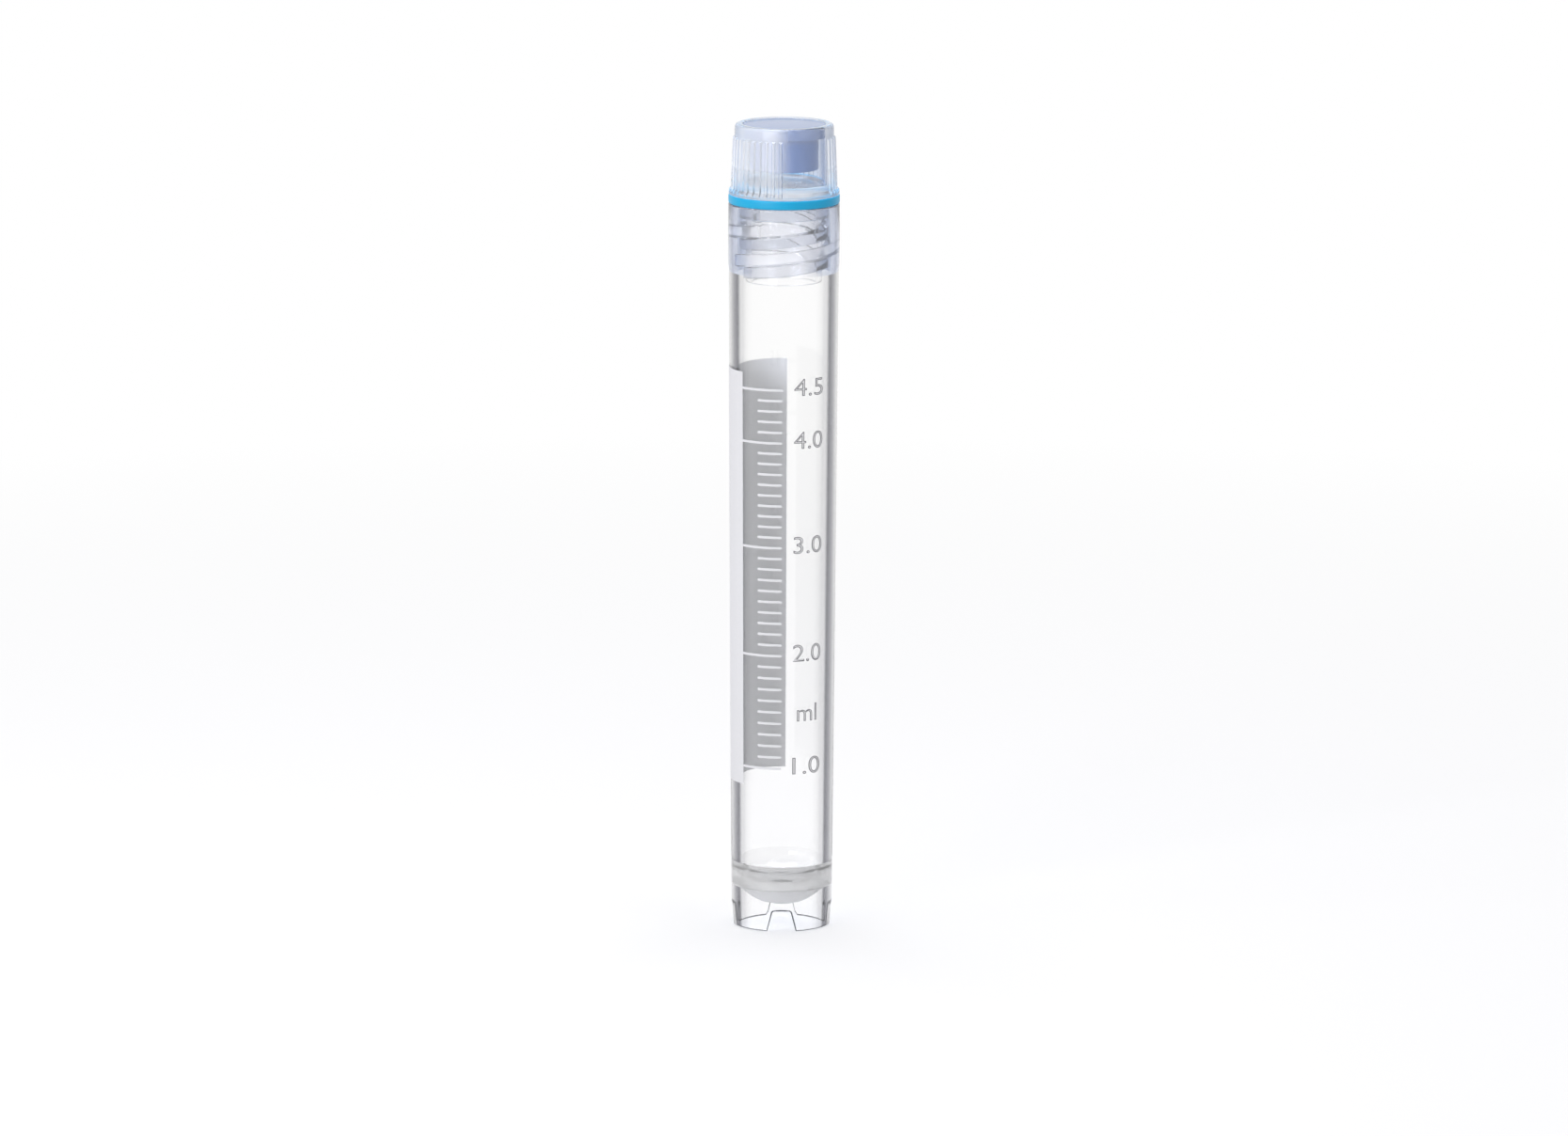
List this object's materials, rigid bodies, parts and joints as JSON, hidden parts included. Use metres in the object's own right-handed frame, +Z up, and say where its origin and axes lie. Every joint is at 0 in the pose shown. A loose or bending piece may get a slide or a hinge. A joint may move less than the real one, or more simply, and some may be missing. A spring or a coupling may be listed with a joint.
{
  "type": "cryovial",
  "caption": "Clear self-standing sample tube with a star foot, rounded floor and internal thread, closed by a ribbed blue screw cap with a gasket ring and a colour insert.",
  "frame": {"origin": "centre of the star foot's underside, on the surface that the vial stands on", "axes": "+Z up along the tube's axis, from the foot to the cap; the graduated side faces -Y; +X is right as seen from that side"},
  "size_m": [0.0125, 0.0124, 0.0913],
  "materials": {
    "clear_polypropylene": "clear, glossy, injection moulded",
    "blue_polypropylene": "pale translucent blue, glossy, injection moulded",
    "blue_silicone": "smooth satin silicone",
    "insert_polypropylene": "pale lavender, fine matt"
  },
  "bodies": {
    "vial_tube": {"tube": "clear_polypropylene"},
    "cap_seal": {"gasket": "blue_silicone"},
    "screw_cap": {"cap": "blue_polypropylene", "cap_insert": "insert_polypropylene"}
  },
  "joints": [
    {"name": "cap_rise", "type": "slide", "parent": "vial_tube", "child": "cap_seal", "axis": [0, 0, 1], "range_m": [0, 0.004]},
    {"name": "cap_turn", "type": "hinge", "parent": "cap_seal", "child": "screw_cap", "pos_m": [0, 0, 0.08235], "axis": [0, 0, 1], "range_deg": [0, 450]}
  ],
  "couplings": [
    {"joint": "cap_turn", "follows": "cap_rise", "rad_per_m": 1963.5}
  ]
}
